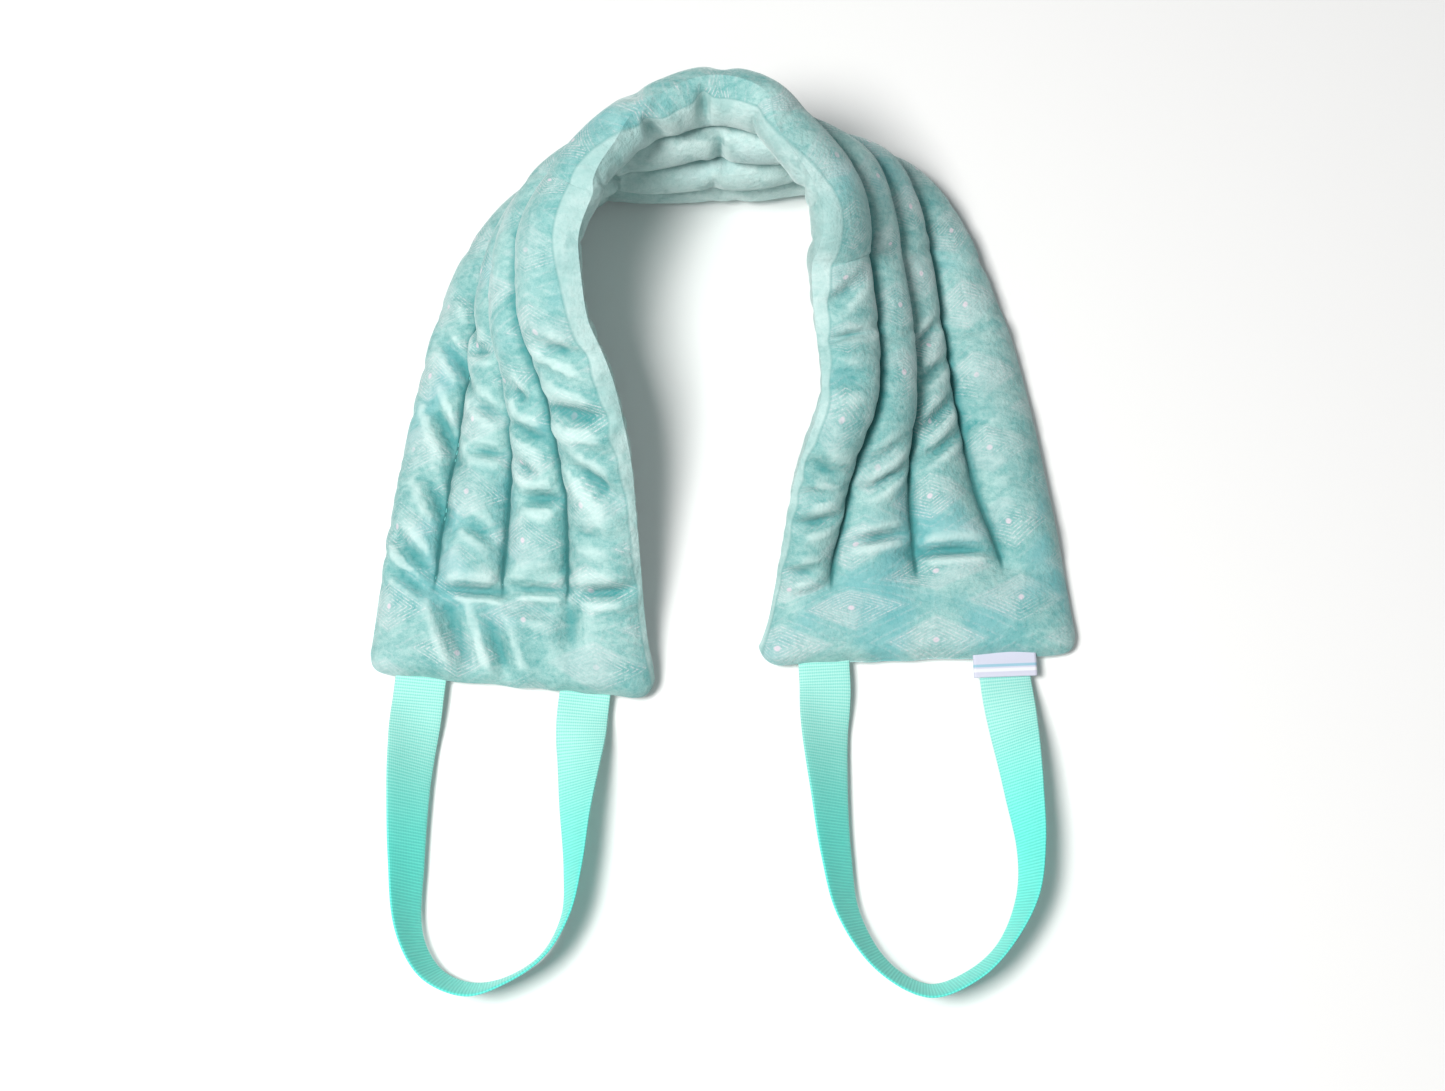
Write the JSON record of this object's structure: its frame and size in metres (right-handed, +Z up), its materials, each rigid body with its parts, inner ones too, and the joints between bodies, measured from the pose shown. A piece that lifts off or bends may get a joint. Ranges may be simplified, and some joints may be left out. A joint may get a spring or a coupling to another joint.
{
  "type": "heated neck wrap",
  "caption": "Grain-filled plush neck wrap with sewn channels, printed outside and plain inside, arched to fit a neck, with webbing loop handles and a folded ribbon label at its ends",
  "frame": {"origin": "on the table under the middle of the whole piece", "axes": "+Z up off the table; +Y from the handles to the crown of the arch; +X from the left end to the right end"},
  "size_m": [0.3492, 0.4318, 0.1299],
  "materials": {
    "printed_plush": "short velour pile, mottled aqua with a pale diamond print",
    "plain_plush": "short pale mint plush",
    "webbing": "ribbed woven mint webbing",
    "ribbon": "smooth woven ribbon, pale lilac with a thin blue stripe"
  },
  "bodies": {
    "root": {"printed_face": "printed_plush", "plain_face": "plain_plush", "handle_left": "webbing", "handle_right": "webbing", "ribbon_label": "ribbon"}
  },
  "joints": []
}
